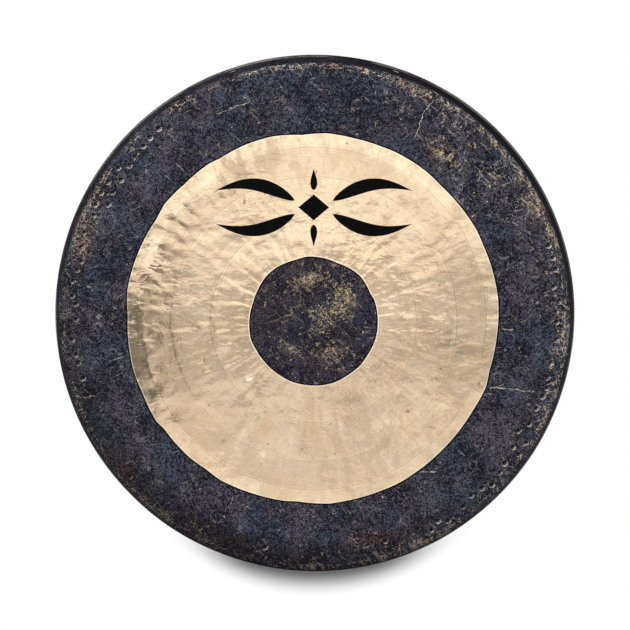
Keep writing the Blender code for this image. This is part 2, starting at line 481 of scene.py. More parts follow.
def coat(piece: bpy.types.Object, material: bpy.types.Material) -> None:
    """Makes this the only material of a piece."""
    piece.data.materials.clear()
    piece.data.materials.append(material)


def read_mark(mesh: bpy.types.Mesh, mark: Mark) -> np.ndarray:
    """The values of a mark, one for each vertex."""
    values = np.empty(len(mesh.vertices), dtype=np.float32)
    mesh.attributes[mark.value].data.foreach_get("value", values)
    return values.astype(float)


def write_mark(mesh: bpy.types.Mesh, mark: Mark, values: np.ndarray) -> None:
    """Sets the values of a mark, one for each vertex."""
    if mark.value not in mesh.attributes:
        mesh.attributes.new(mark.value, "FLOAT", "POINT")
    mesh.attributes[mark.value].data.foreach_set("value", values.astype(np.float32))


def vertex_places(mesh: bpy.types.Mesh) -> np.ndarray:
    """The vertices of a mesh, a row each."""
    flat = np.empty(len(mesh.vertices) * 3, dtype=np.float32)
    mesh.vertices.foreach_get("co", flat)
    return flat.reshape(-1, 3).astype(float)


def move_vertices(mesh: bpy.types.Mesh, places: np.ndarray) -> None:
    """Puts the vertices of a mesh at these places."""
    mesh.vertices.foreach_set("co", places.astype(np.float32).ravel())
    mesh.update()


def runs(*stretches: tuple[float, float, int]) -> list[float]:
    """Evenly spaced numbers along each stretch of (first, last, steps), end to end."""
    numbers: list[float] = []
    for first, last, steps in stretches:
        numbers += [first + (last - first) * i / steps for i in range(steps)]
    return numbers + [stretches[-1][1]]


@dataclass
class TurnedPiece:
    """A piece turned about the gong's axis, then hammered by moving its vertices.

    outline holds the (reach, lift) of each corner of its section. It starts and ends on
    the axis if solid_middle is set, and is a closed loop if it isn't.
    """

    sheet: Sheet
    name: str
    outline: Points
    divisions: int
    solid_middle: bool
    front: bool
    punched: bool = False
    edges: tuple[ScrapedEdge, ...] = ()
    follow: float = 0.016

    def turn(self) -> bpy.types.Object:
        """Draws the section, spins it a quarter turn about the axis and mirrors that."""
        bpy.ops.object.select_all(action="DESELECT")
        bpy.ops.mesh.primitive_circle_add(vertices=len(self.outline), radius=self.sheet.rim_radius)
        piece = bpy.context.object
        piece.name = piece.data.name = self.name
        reach, lift = (np.array(column) for column in zip(*self.outline))
        move_vertices(piece.data, self.sheet.place(reach, lift, np.zeros_like(reach)))
        write_mark(piece.data, Mark.REACH, reach)
        write_mark(piece.data, Mark.LIFT, lift)
        if self.solid_middle:
            self.open_on_axis(piece)
        with editing("SELECT"):
            quarter = self.divisions // 4
            bpy.ops.mesh.spin(steps=quarter, angle=math.pi / 2, center=(0, 0, 0), axis=(0, 1, 0))
        whole = piece.modifiers.new("whole", "MIRROR")
        whole.use_axis = (True, False, True)
        whole.merge_threshold = MERGE_DISTANCE
        bpy.ops.object.modifier_apply(modifier=whole.name)
        with editing("SELECT"):
            bpy.ops.mesh.remove_doubles(threshold=MERGE_DISTANCE)
            bpy.ops.mesh.normals_make_consistent(inside=False)
        return piece

    def open_on_axis(self, piece: bpy.types.Object) -> None:
        """Deletes the edge of the section that lies along the axis."""
        last = len(self.outline) - 1
        with editing():
            bpy.ops.mesh.select_all(action="DESELECT")
        for edge in piece.data.edges:
            edge.select = set(edge.vertices) == {0, last}
        with editing():
            bpy.ops.mesh.select_mode(type="EDGE")
            bpy.ops.mesh.delete(type="EDGE")
            bpy.ops.mesh.select_mode(type="VERT")

    def where(self, mesh: bpy.types.Mesh) -> tuple[np.ndarray, ...]:
        """The reach, the lift and the angle of each vertex."""
        angle = angles_of(vertex_places(mesh))
        return read_mark(mesh, Mark.REACH), read_mark(mesh, Mark.LIFT), angle

    def refine(self, piece: bpy.types.Object) -> None:
        """Divides the faces around each punch mark more finely."""
        mesh = piece.data
        reach, lift, angle = self.where(mesh)
        near = np.zeros(len(reach), dtype=bool)
        for run in self.sheet.punches:
            for mark_angle, mark_reach, radius in run.places(self.sheet.fold_crest):
                around = np.radians(turn_between(angle, mark_angle)) * mark_reach
                near |= np.hypot(around, reach - mark_reach) < radius * 1.5
        near &= lift > max(lift) - MERGE_DISTANCE
        with editing():
            bpy.ops.mesh.select_mode(type="FACE")
            bpy.ops.mesh.select_all(action="DESELECT")
        chosen = [all(near[v] for v in face.vertices) for face in mesh.polygons]
        mesh.polygons.foreach_set("select", chosen)
        with editing():
            bpy.ops.mesh.subdivide(number_cuts=2)
            bpy.ops.mesh.select_mode(type="VERT")

    def hammer(self, piece: bpy.types.Object) -> None:
        """Moves the vertices to the hammered shape and the scraped edges."""
        mesh, sheet = piece.data, self.sheet
        reach, lift, angle = self.where(mesh)
        gap = np.full_like(reach, 1.0)
        for edge in self.edges:
            target = edge.reach(angle)
            if self.front or not self.solid_middle:
                side = np.abs(reach - edge.radius)
                reach = reach + (target - edge.radius) * np.clip(1 - side / self.follow, 0, 1)
            gap = np.minimum(gap, np.abs(reach - target))
        shape = sheet.relief(reach, angle)
        facing = lift > -sheet.thickness * 0.7
        shape = shape + np.where(facing, sheet.face_relief(reach, angle), 0)
        if self.punched:
            skin = lift > max(lift) - MERGE_DISTANCE
            depth, near, across, up = sheet.punched(reach, angle)
            shape = shape - np.where(skin, depth, 0)
            for mark, values in ((Mark.PUNCH, near), (Mark.PUNCH_ACROSS, across), (Mark.PUNCH_UP, up)):
                write_mark(mesh, mark, values)
        move_vertices(mesh, sheet.place(reach, lift + shape, angle))
        write_mark(mesh, Mark.REACH, reach)
        write_mark(mesh, Mark.EDGE_GAP, gap)

    def build(self) -> bpy.types.Object:
        """Makes the whole piece.

        Returns:
            The finished object, with its marks and smooth shading.
        """
        piece = self.turn()
        if self.punched:
            self.refine(piece)
        self.hammer(piece)
        activate(piece)
        bpy.ops.object.shade_smooth_by_angle(angle=SMOOTH_ANGLE)
        return piece


@dataclass
class HangingHoles:
    """The two holes in the rim that the gong hangs by."""

    sheet: Sheet
    sides: int = 40
    length: float = 0.04

    def centres(self) -> list[tuple[Vector, Vector]]:
        """Each hole's centre and the way out of it."""
        reach = np.array([self.sheet.rim_end - self.sheet.hole_to_edge])
        radius = self.sheet.section(reach)[0][0]
        tilt = math.degrees(math.asin(self.sheet.hole_spacing / 2 / radius))
        found = []
        for angle in (90 - tilt, 90 + tilt):
            here = self.sheet.place(reach, np.zeros(1), np.array([angle]))[0]
            outside = self.sheet.place(reach, np.ones(1), np.array([angle]))[0]
            found.append((Vector(here), Vector(outside - here)))
        return found

    def drill(self, piece: bpy.types.Object, radius: float) -> None:
        """Cuts both holes through the piece.

        Args:
            piece: What is drilled.
            radius: The holes' radius.
        """
        drills = []
        for centre, way in self.centres():
            bpy.ops.object.select_all(action="DESELECT")
            bpy.ops.mesh.primitive_cylinder_add(
                vertices=self.sides,
                radius=radius,
                depth=self.length,
                location=centre,
                rotation=way.to_track_quat("Z", "Y").to_euler(),
            )
            drills.append(bpy.context.object)
        activate(drills[0])
        drills[1].select_set(True)
        bpy.ops.object.join()
        cut = piece.modifiers.new("holes", "BOOLEAN")
        cut.operation = "DIFFERENCE"
        cut.solver = "EXACT"
        cut.object = drills[0]
        activate(piece)
        bpy.ops.object.modifier_apply(modifier=cut.name)
        bpy.data.objects.remove(drills[0])


class Value:
    """A number, a vector or a colour on its way through a shader tree.

    Sums with numbers are written with the usual signs, and each adds one node.
    """

    def __init__(self, graph: "Graph", socket: bpy.types.NodeSocket) -> None:
        """Takes an output of a node.

        Args:
            graph: The graph that any further nodes go in.
            socket: The output that the value comes from.
        """
        self.graph, self.socket = graph, socket

    def __add__(self, other: object) -> "Value":
        return self.graph.math("ADD", self, other)

    def __sub__(self, other: object) -> "Value":
        return self.graph.math("SUBTRACT", self, other)

    def __rsub__(self, other: object) -> "Value":
        return self.graph.math("SUBTRACT", other, self)

    def __mul__(self, other: object) -> "Value":
        return self.graph.math("MULTIPLY", self, other)

    def __truediv__(self, other: object) -> "Value":
        return self.graph.math("DIVIDE", self, other)

    def __abs__(self) -> "Value":
        return self.graph.math("ABSOLUTE", self)

    __radd__, __rmul__ = __add__, __mul__

    def eased(self, low: object, high: object) -> "Value":
        """A smooth step from 0 at low to 1 at high. low may be the larger."""
        inputs = {"Value": self, "From Min": low, "From Max": high}
        return self.graph.add("MapRange", inputs, "Result", interpolation_type="SMOOTHSTEP", clamp=True)


class Graph:
    """Adds nodes to a shader tree and joins them up."""

    def __init__(self, tree: bpy.types.NodeTree) -> None:
        """Takes a tree.

        Args:
            tree: The tree that the nodes go in.
        """
        self.tree = tree

    def join(self, value: object, socket: bpy.types.NodeSocket) -> None:
        """Feeds a socket from a value, or sets it to a constant."""
        if isinstance(value, Value):
            self.tree.links.new(value.socket, socket)
        elif isinstance(value, tuple) and socket.type == "RGBA":
            socket.default_value = (*value[:3], 1.0)
        else:
            socket.default_value = value

    def node(self, kind: str, inputs: dict | None = None, **settings: object) -> bpy.types.Node:
        """Adds a node.

        Args:
            kind: The node's type, without its ShaderNode prefix.
            inputs: What feeds its inputs, by name or number.
            **settings: Its other properties.

        Returns:
            The node.
        """
        node = self.tree.nodes.new("ShaderNode" + kind)
        for name, value in settings.items():
            setattr(node, name, value)
        for name, value in (inputs or {}).items():
            self.join(value, node.inputs[name])
        return node

    def add(self, kind: str, inputs: dict | None = None, output: object = 0, **settings: object) -> Value:
        """Adds a node and gives one of its outputs, which is named or numbered by output."""
        return Value(self, self.node(kind, inputs, **settings).outputs[output])

    def math(self, operation: str, *values: object, clamp: bool = False) -> Value:
        """One step of arithmetic on numbers."""
        return self.add("Math", dict(enumerate(values)), operation=operation, use_clamp=clamp)

    def vector(self, operation: str, *values: object, scale: object = 1.0) -> Value:
        """One step of arithmetic on vectors. Only the SCALE operation uses scale."""
        inputs = dict(enumerate(values)) | ({"Scale": scale} if operation == "SCALE" else {})
        return self.add("VectorMath", inputs, operation=operation)

    def measure(self, operation: str, *values: object) -> Value:
        """A number worked out from vectors."""
        return self.add("VectorMath", dict(enumerate(values)), "Value", operation=operation)

    def parts(self, vector: Value) -> tuple[Value, ...]:
        """The three parts of a vector."""
        node = self.node("SeparateXYZ", {0: vector})
        return tuple(Value(self, socket) for socket in node.outputs)

    def stretched(self, vector: Value, factors: Triple) -> Value:
        """A vector with its parts multiplied by these factors."""
        return self.vector("MULTIPLY", vector, factors)

    def noise(self, vector: Value, scale: object, detail: float = 2.0, **more: float) -> Value:
        """Noise from 0 to 1. more may hold its roughness and distortion."""
        inputs = {"Vector": vector, "Scale": scale, "Detail": detail}
        return self.add("TexNoise", inputs | {name.capitalize(): value for name, value in more.items()})

    def mixed(self, share: object, first: object, second: object) -> Value:
        """A colour between two others."""
        return self.add("Mix", {0: share, 6: first, 7: second}, 2, data_type="RGBA", clamp_factor=True)

    def mark(self, mark: Mark) -> Value:
        """The value of one of a piece's marks."""
        return self.add("Attribute", output="Fac", attribute_name=mark.value)

    def effect(self, tree: bpy.types.NodeTree, **inputs: object) -> Value:
        """Places a shared effect and gives its output."""
        named = {name.capitalize(): value for name, value in inputs.items()}
        return self.add("Group", named, node_tree=tree)


class Effects:
    """The shared effects, each a node group that is built once."""

    def __init__(self) -> None:
        """Builds every effect."""
        self.flecks = self.build_flecks()
        self.scratches = self.build_scratches()
        self.crack = self.build_crack()
        self.grain = self.build_grain()

    def start(self, name: str, **inputs: str) -> tuple[Graph, list[Value]]:
        """Starts a group.

        Args:
            name: The group's name.
            **inputs: The kind of socket for each input.

        Returns:
            A graph to fill it with, and what comes in by each input.
        """
        tree = bpy.data.node_groups.new(name, "ShaderNodeTree")
        for socket, kind in inputs.items():
            tree.interface.new_socket(socket, in_out="INPUT", socket_type="NodeSocket" + kind)
        tree.interface.new_socket("Mask", in_out="OUTPUT", socket_type="NodeSocketFloat")
        graph, given = Graph(tree), tree.nodes.new("NodeGroupInput")
        return graph, [Value(graph, given.outputs[socket]) for socket in inputs]

    def finish(self, graph: Graph, value: Value) -> bpy.types.NodeTree:
        """Ends a group with this value as its output."""
        graph.join(value, graph.tree.nodes.new("NodeGroupOutput").inputs[0])
        return graph.tree

    def build_flecks(self) -> bpy.types.NodeTree:
        """Small curled flecks. Amount is how many, from 0 to 1, and Width how wide."""
        graph, given = self.start("flecks", Vector="Vector", Scale="Float", Amount="Float", Width="Float")
        vector, scale, amount, width = given
        curl = abs(graph.noise(vector, scale, 1.0, distortion=1.0) - 0.5)
        line = (curl / (width * scale)).eased(1.0, 0.45)
        apart = graph.vector("ADD", vector, (3.7, 1.3, 5.1))
        broken = graph.noise(apart, scale * 0.62, 2.0)
        limit = 0.70 - amount * 0.28
        return self.finish(graph, line * broken.eased(limit, limit + 0.06))

    def build_scratches(self) -> bpy.types.NodeTree:
        """Fine straight scratches that run one way. Turn is that way, in radians."""
        graph, given = self.start("scratches", Vector="Vector", Turn="Float", Amount="Float")
        vector, turn, amount = given
        inputs = {"Vector": vector, "Axis": (0.0, 1.0, 0.0), "Angle": turn}
        turned = graph.add("VectorRotate", inputs, rotation_type="AXIS_ANGLE")
        line = graph.noise(graph.stretched(turned, (26.0, 30.0, 620.0)), 1.0, 1.0, distortion=0.15)
        limit = 0.80 - amount * 0.22
        return self.finish(graph, line.eased(limit, limit + 0.06))

    def build_crack(self) -> bpy.types.NodeTree:
        """One crooked line from Start to End, of the given Width."""
        graph, given = self.start("crack", Vector="Vector", Start="Vector", End="Vector", Width="Float")
        vector, start, end, width = given
        bend = graph.add("TexNoise", {"Vector": vector, "Scale": 90.0, "Detail": 3.0}, "Color")
        bend = graph.vector("SCALE", graph.vector("SUBTRACT", bend, (0.5, 0.5, 0.5)), scale=0.010)
        place = graph.stretched(graph.vector("ADD", vector, bend), (1.0, 0.0, 1.0))
        line = graph.vector("SUBTRACT", end, start)
        offset = graph.vector("SUBTRACT", place, start)
        top, low = graph.measure("DOT_PRODUCT", offset, line), graph.measure("DOT_PRODUCT", line, line)
        share = graph.math("DIVIDE", top, low, clamp=True)
        gap = graph.measure("DISTANCE", offset, graph.vector("SCALE", line, scale=share))
        taper = width * (share * (1.0 - share)).eased(-0.05, 0.10)
        patchy = graph.noise(vector, 260.0, 1.0).eased(0.30, 0.48)
        return self.finish(graph, gap.eased(taper, taper * 0.5) * patchy)

    def build_grain(self) -> bpy.types.NodeTree:
        """Fine even grain over coarser grain, around a mean of a half."""
        graph, (vector, scale) = self.start("grain", Vector="Vector", Scale="Float")
        fine = graph.noise(vector, scale, 2.0, roughness=0.65)
        coarse = graph.noise(vector, scale * 0.36, 2.0, roughness=0.6, distortion=0.4)
        return self.finish(graph, fine * 0.68 + coarse * 0.32)


class Finish:
    """A material under construction: its graph, its shader and where it reads its place."""

    def __init__(self, name: str) -> None:
        """Starts a new material.

        Args:
            name: The material's name.
        """
        self.material = bpy.data.materials.new(name)
        self.material.use_nodes = True
        self.graph = Graph(self.material.node_tree)
        self.shader = self.material.node_tree.nodes["Principled BSDF"]
        self.place = self.graph.add("TexCoord", output="Object")
        self.colour: Value | None = None

    def paint(self, share: Value, colour: Triple) -> None:
        """Lays a share of a colour over the colour so far."""
        self.colour = self.graph.mixed(share, self.colour, colour)

    def around(self, fineness: float, along: float) -> Value:
        """A place for noise drawn out into rings about the axis.

        Args:
            fineness: How many times finer the noise is across the rings.
            along: How quickly it changes round them.
        """
        flat = self.graph.stretched(self.place, (1.0, 0.0, 1.0))
        radius, way = self.graph.measure("LENGTH", flat), self.graph.vector("NORMALIZE", flat)
        height = self.graph.add("CombineXYZ", {"Y": radius * fineness})
        return self.graph.vector("ADD", self.graph.stretched(way, (along, 0.0, along)), height)

    def set(self, **sockets: object) -> None:
        """Feeds or sets sockets of the shader, named with _ for each space."""
        for name, value in sockets.items():
            self.graph.join(value, self.shader.inputs[name.replace("_", " ")])

    def bump(self, height: Value, distance: float, strength: float) -> None:
        """Raises the surface by height, up to distance."""
        inputs = {"Height": height, "Distance": distance, "Strength": strength}
        self.set(Normal=self.graph.add("Bump", inputs))


@dataclass(frozen=True)
class BronzeFinish:
    """Scraped and turned bell bronze under clear lacquer."""

    name: str = "bare_bronze"
    pale: Triple = (1.0, 0.79, 0.545)
    warm: Triple = (0.87, 0.65, 0.42)
    dull: Triple = (0.60, 0.45, 0.29)
    olive: Triple = (0.36, 0.32, 0.20)
    spot: Triple = (0.30, 0.13, 0.06)
    glare: Triple = (1.0, 0.83, 0.58)
    cut_edge_highlight: Triple = (1.0, 0.88, 0.68)
    roughness: float = 0.085
    steps: tuple[float, ...] = TURNING_STEPS
    grooves: tuple[float, ...] = (0.2715, 0.2755, 0.2855)
    dullness: tuple[float, ...] = (0.20, 0.24, -0.38)

    def build(self) -> bpy.types.Material:
        """Makes the material."""
        made = Finish(self.name)
        graph = made.graph
        clouds = graph.noise(made.place, 13.0, 5.0, roughness=0.6).eased(0.32, 0.68)
        made.colour = graph.mixed(clouds, self.warm, self.pale)
        spokes = graph.noise(made.around(9.0, 16.0), 1.0, 4.0, roughness=0.6)
        made.paint(spokes.eased(0.5, 0.72) * 0.55, self.pale)
        made.paint(spokes.eased(0.48, 0.3) * 0.45, self.warm)
        rings = graph.noise(made.around(520.0, 2.2), 1.0, 3.0, roughness=0.6)
        made.paint(rings.eased(0.5, 0.72) * 0.22, self.dull)
        made.paint(self.zones(made), self.dull)
        outer = graph.mark(Mark.REACH).eased(0.15, 0.28) * graph.mark(Mark.FACET)
        facets = graph.noise(made.around(24.0, 13.0), 1.0, 3.0, distortion=0.5)
        unlit = graph.math("MULTIPLY", facets.eased(0.51, 0.42), outer, clamp=True)
        made.paint(unlit * 0.85, self.dull)
        # Painted highlights and glints: the glare colour where the ring's pale mark is set, broken up by
        # the facets.
        streaks = facets.eased(0.46, 0.55) * 0.6 + 0.5
        lit = graph.math("MULTIPLY", graph.mark(Mark.PAINTED_HIGHLIGHT), streaks, clamp=True)
        made.paint(lit, self.glare)
        made.paint(graph.mark(Mark.STAIN) * rings.eased(0.2, 0.55), self.olive)
        spots = graph.noise(made.place, 120.0, 0.0).eased(0.83, 0.86)
        made.paint(spots * 0.6, self.spot)
        # Along each scraped edge a thin lip of cut bronze is paler and less metallic, brightened further as
        # a painted highlight.
        lip = graph.mark(Mark.EDGE_GAP).eased(0.0022, 0.001)
        made.paint(lip * 0.7, self.cut_edge_highlight)
        made.set(Base_Color=made.colour)
        # The painted highlights and the lip are made partly diffuse, so that they read brighter under the
        # lamps.
        inward = graph.mark(Mark.REACH).eased(0.25, 0.2)
        diffuse = lit.eased(0.68, 1.0) * -0.3 + lip * (inward * -0.55 - 0.2)
        made.set(Metallic=diffuse + 1.0, Roughness=rings * 0.03 + (clouds * 0.05 + self.roughness))
        fine = graph.noise(made.place, 75.0, 4.0, roughness=0.55)
        flat = graph.stretched(made.place, (26.0, 26.0, 52.0))
        crease = abs(graph.noise(flat, 1.0, 2.5, distortion=0.5) - 0.5) * (graph.mark(Mark.FACET) * 9.0)
        made.bump(fine * 2.2 + rings * 0.35 + crease, 0.0002, 0.8)
        return made.material

    def zones(self, made: Finish) -> Value:
        """How dull each turned zone is, with a thin dark line where two of them meet."""
        graph = made.graph
        reach = graph.mark(Mark.REACH) + (graph.noise(made.place, 9.0, 2.0) * 0.004 - 0.002)
        patchy = graph.noise(made.place, 7.0, 2.0).eased(0.35, 0.65)
        total = 0.0
        for step, after in zip(self.steps, self.dullness):
            total = reach.eased(step - 0.0006, step + 0.0006) * after + total
        total = total * (patchy * 0.7 + 0.3)
        for step in self.steps:
            total = total + abs(reach - step).eased(0.0009, 0.0003) * 0.55
        for groove in self.grooves:
            total = total + abs(reach - groove).eased(0.0007, 0.0002) * (patchy * 0.34)
        return graph.math("MINIMUM", total, 1.0)


@dataclass(frozen=True)
class Line:
    """A scratch or a crack between two places on the face, given by angle and reach."""

    first_angle: float
    first_reach: float
    last_angle: float
    last_reach: float
    width: float = 0.0016

    def ends(self) -> tuple[Triple, Triple]:
        """The two ends, in the plane of the face."""
        first = over_face(self.first_reach, self.first_angle)
        last = over_face(self.last_reach, self.last_angle)
        return (first[0], 0.0, first[1]), (last[0], 0.0, last[1])


@dataclass(frozen=True)
class ScaleFinish:
    """Blue-black forging scale, mottled, flecked and scratched."""

    name: str
    fold_line: float
    rim_line: float
    black: Triple = (0.006, 0.005, 0.009)
    grey: Triple = (0.086, 0.079, 0.108)
    blue: Triple = (0.062, 0.076, 0.108)
    # rim colours the painted shade over the rim.
    rim: Triple = (0.0035, 0.0028, 0.0040)
    brown: Triple = (0.12, 0.085, 0.055)
    rust: Triple = (0.17, 0.065, 0.035)
    gold: Triple = (0.62, 0.45, 0.26)
    # pale also colours the painted highlight in the punch marks, and bright the painted highlight on their
    # rims.
    pale: Triple = (0.36, 0.33, 0.31)
    bright: Triple = (0.60, 0.54, 0.46)
    crack: Triple = (0.55, 0.46, 0.34)
    lit_from: Triple = (0.55, 0.0, -0.84)
    # edge colours the painted shadow line along the scale's scraped edge.
    edge: Triple = (0.0015, 0.0013, 0.002)
    flecks: float = 1.0
    roughness: float = 0.55
    lines: tuple[Line, ...] = ()

    def build(self, effects: Effects) -> bpy.types.Material:
        """Makes the material.

        Args:
            effects: The shared effects.
        """
        made = Finish(self.name)
        graph = made.graph
        wear = graph.mark(Mark.WEAR)
        grain = graph.effect(effects.grain, vector=made.place, scale=480.0)
        clouds = graph.noise(made.place, 24.0, 4.0, roughness=0.62)
        tone = grain * 1.6 + clouds * 0.55
        tint = graph.mixed(graph.noise(made.place, 15.0, 3.0).eased(0.42, 0.6), self.grey, self.blue)
        made.colour = graph.mixed(tone.eased(0.93, 1.24), self.black, tint)
        haze = graph.noise(made.place, 23.0, 3.0).eased(0.5, 0.78) * (0.15 + wear)
        made.paint(haze * grain.eased(0.4, 0.62), self.brown)
        made.paint(graph.mark(Mark.STAIN) * grain.eased(0.46, 0.58), self.rust)
        made.paint(self.rubbed(made, grain), self.gold)
        for turn, share in ((0.35, 0.55), (-0.7, 0.6), (1.3, 0.35), (2.2, 0.45)):
            amount = (0.45 + wear) * share
            scratch = graph.effect(effects.scratches, vector=made.place, turn=turn, amount=amount)
            made.paint(scratch * 0.8, self.pale)
        amount = wear * 0.6 + 0.38
        hair = graph.effect(effects.flecks, vector=made.place, scale=85.0, amount=amount, width=0.00036)
        hair = graph.math("MULTIPLY", hair, wear * 0.6 + 0.34, clamp=True)
        made.paint(hair, self.pale)
        amount = wear * (0.72 * self.flecks)
        fleck = graph.effect(effects.flecks, vector=made.place, scale=190.0, amount=amount, width=0.00036)
        bare = graph.math("MAXIMUM", fleck, self.fold_rub(made, wear))
        made.paint(bare * 0.85, self.gold)
        for line in self.lines:
            start, end = line.ends()
            hit = graph.effect(effects.crack, vector=made.place, start=start, end=end, width=line.width)
            made.paint(hit * 0.85, self.crack)
            bare = graph.math("MAXIMUM", bare, hit)
        self.paint_punch_light_and_shade(made)
        outside = graph.mark(Mark.REACH).eased(self.fold_line + 0.003, self.fold_line + 0.006)
        # Painted shade: darkens the rim beyond the fold, more at some angles than others, and the border
        # near the fold at the lower left.
        made.paint(graph.mark(Mark.DARK), self.rim)
        # Painted highlight: a broken pale line along the rim, a little in from its back edge.
        rim_highlight = abs(graph.mark(Mark.REACH) - self.rim_line).eased(0.009, 0.003)
        rim_highlight = rim_highlight * graph.noise(made.place, 11.0, 3.0).eased(0.34, 0.6)
        made.paint(rim_highlight * 0.55, self.pale)
        specks = graph.noise(made.place, 340.0, 1.0).eased(0.53, 0.63)
        made.paint(specks * 0.85, self.black)
        # Painted shadow: a thin near-black line along the scale's scraped edge, where its step would cast
        # shade.
        edge = graph.mark(Mark.EDGE_GAP).eased(0.0028, 0.0014)
        made.paint(edge, self.edge)
        rough = outside * 0.35 + (self.roughness - 0.1 + grain * 0.3) - bare * 0.12
        made.set(Base_Color=made.colour, Metallic=bare * 0.4, Roughness=rough)
        made.set(Specular_IOR_Level=NO_SHINE)
        made.bump(tone + graph.math("MAXIMUM", hair, bare) * -0.35, 0.0013, 0.8)
        return made.material

    def paint_punch_light_and_shade(self, made: Finish) -> None:
        """Colours the punch marks with painted light: painted shade on the side of each bowl away from
        lit_from, and a painted highlight on its lit lower side and rim.
        """
        graph = made.graph
        across, up = graph.mark(Mark.PUNCH_ACROSS), graph.mark(Mark.PUNCH_UP)
        offset = graph.add("CombineXYZ", {0: across, 2: up})
        gap = graph.measure("LENGTH", offset)
        low = graph.measure("DOT_PRODUCT", offset, self.lit_from)
        near = graph.mark(Mark.PUNCH) * gap.eased(0.92, 0.72)
        # Painted shade in the bowl away from the light; painted highlight towards it and on the rim.
        made.paint(near * low.eased(0.35, -0.25), self.black)
        made.paint(near * low.eased(0.0, 1.4), self.pale)
        ring = graph.mark(Mark.PUNCH) * abs(gap - 0.86).eased(0.2, 0.07)
        varied = graph.noise(made.place, 70.0, 1.0).eased(0.3, 0.62)
        share = low.eased(0.05, 0.7) * (varied * 0.65 + 0.25) + 0.1
        made.paint(ring * share, self.bright)

    def rubbed(self, made: Finish, grain: Value) -> Value:
        """Soft patches where the bronze just shows through."""
        graph = made.graph
        streaky = graph.noise(graph.stretched(made.place, (110.0, 60.0, 170.0)), 1.0, 3.0, distortion=0.8)
        return graph.mark(Mark.HAZE) * streaky.eased(0.49, 0.55) * grain.eased(0.4, 0.52)

    def fold_rub(self, made: Finish, wear: Value) -> Value:
        """Broken thin lines along the fold where it has rubbed."""
        graph = made.graph
        total = None
        for offset, seed in ((-0.0050, 1.7), (0.0005, 7.3)):
            apart = graph.vector("ADD", made.place, (seed, seed, seed))
            waver = graph.noise(apart, 34.0, 4.0) * 0.014 + (-0.007 - offset)
            gap = abs(graph.mark(Mark.REACH) - self.fold_line + waver)
            line = gap.eased(0.0009, 0.0003) * graph.noise(apart, 130.0, 3.0).eased(0.5, 0.6)
            total = line if total is None else graph.math("MAXIMUM", total, line)
        return total * wear.eased(0.22, 0.5)


@dataclass(frozen=True)
class InkFinish:
    """Black printing ink on lacquered bronze."""

    name: str = "printed_ink"
    colour: Triple = (0.0006, 0.0006, 0.0006)
    thin: Triple = (0.004, 0.0035, 0.003)

    def build(self) -> bpy.types.Material:
        """Makes the material."""
        made = Finish(self.name)
        graph = made.graph
        uneven = graph.noise(made.place, 300.0, 3.0)
        made.set(Base_Color=graph.mixed(uneven.eased(0.45, 0.75), self.colour, self.thin))
        made.set(Roughness=0.42 + uneven * 0.15, Specular_IOR_Level=NO_SHINE)
        made.bump(uneven, 0.0001, 0.2)
        return made.material


